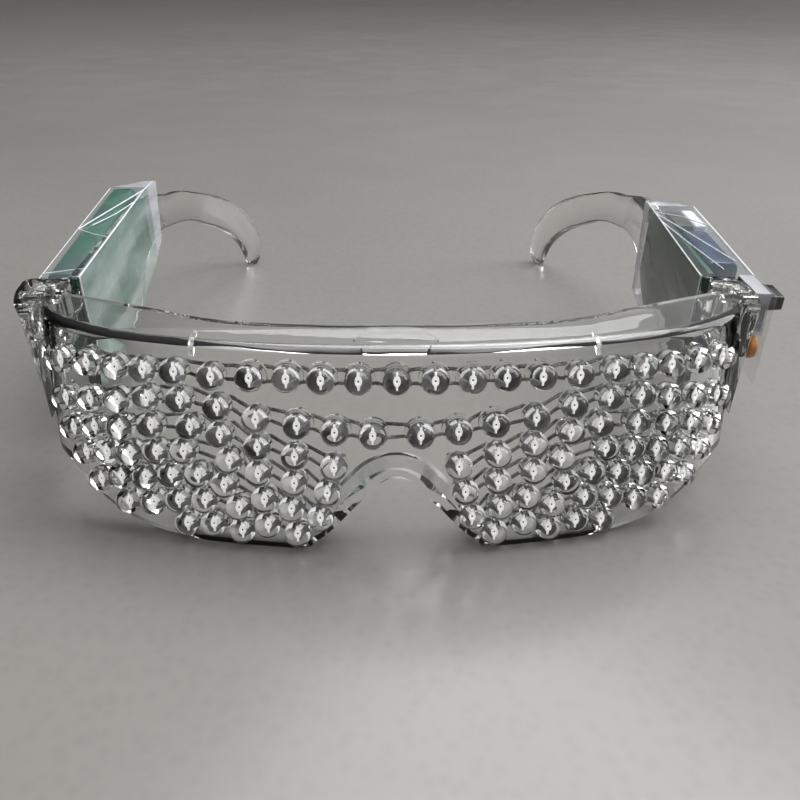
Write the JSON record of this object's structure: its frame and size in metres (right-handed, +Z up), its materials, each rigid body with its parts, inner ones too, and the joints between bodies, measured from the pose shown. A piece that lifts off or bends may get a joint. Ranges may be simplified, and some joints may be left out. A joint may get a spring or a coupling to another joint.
{
  "type": "light up party glasses",
  "caption": "Clear wrap-round party glasses set with rows of clear lamps, with a battery pack and a switched controller pack taped to the folding temples",
  "frame": {"origin": "middle of the outer box, on the table plane the glasses rest on with open temples", "axes": "+Z up, -Y out of the front of the lens, +Y towards the ear hooks, +X to the side of the controller pack, the viewer's right when the lens faces the viewer"},
  "size_m": [0.156, 0.1572, 0.0414],
  "materials": {
    "clear_moulding": "clear polished moulding",
    "lamp_epoxy": "clear epoxy",
    "lead_wire": "tinned wire",
    "pin_steel": "plain",
    "green_sleeve": "shiny shrink sleeve",
    "board_green": "lacquered board",
    "tab_nickel": "plain",
    "clear_film": "creased clear tape",
    "dark_resin": "satin",
    "navy_sleeve": "satin",
    "white_foam": "matt foam",
    "housing_black": "satin",
    "ceramic_orange": "dipped ceramic",
    "cap_black": "gloss"
  },
  "bodies": {
    "front": {"front_shield": "clear_moulding", "lamps_row_1": "lamp_epoxy", "lamps_row_2": "lamp_epoxy", "lamps_row_3": "lamp_epoxy", "lamps_row_4": "lamp_epoxy", "lamps_row_5": "lamp_epoxy", "lamps_row_6": "lamp_epoxy", "lamps_row_7": "lamp_epoxy", "upper_rail_1": "lead_wire", "upper_rail_2": "lead_wire", "upper_rail_3": "lead_wire", "upper_rail_4": "lead_wire", "upper_rail_5": "lead_wire", "upper_rail_6": "lead_wire", "upper_rail_7": "lead_wire", "lower_rail_1": "lead_wire", "lower_rail_2": "lead_wire", "lower_rail_3": "lead_wire", "lower_rail_4": "lead_wire", "lower_rail_5": "lead_wire", "lower_rail_6": "lead_wire", "lower_rail_7": "lead_wire", "hinge_pins": "pin_steel"},
    "battery_temple": {"battery_arm": "clear_moulding", "battery_block": "green_sleeve", "battery_board": "board_green", "battery_tabs": "tab_nickel", "battery_film": "clear_film"},
    "switch_temple": {"switch_arm": "clear_moulding", "controller_board": "board_green", "dark_block": "dark_resin", "navy_block": "navy_sleeve", "white_block": "white_foam", "switch_housing": "housing_black", "ceramic_disc": "ceramic_orange", "switch_film": "clear_film"},
    "switch_cap": {"switch_cap": "cap_black"}
  },
  "joints": [
    {"name": "battery_temple_fold", "type": "hinge", "parent": "front", "child": "battery_temple", "pos_m": [-0.07117, -0.04086, 0.0325], "axis": [0, 0, -1], "range_deg": [0, 85]},
    {"name": "switch_temple_fold", "type": "hinge", "parent": "front", "child": "switch_temple", "pos_m": [0.06603, -0.04086, 0.0325], "axis": [0, 0, 1], "range_deg": [0, 70]},
    {"name": "switch_press", "type": "slide", "parent": "switch_temple", "child": "switch_cap", "axis": [-0.9969, 0.0785, 0], "range_m": [0, 0.0012], "stiffness_N_per_m": 700, "springref_m": -0.0004}
  ]
}
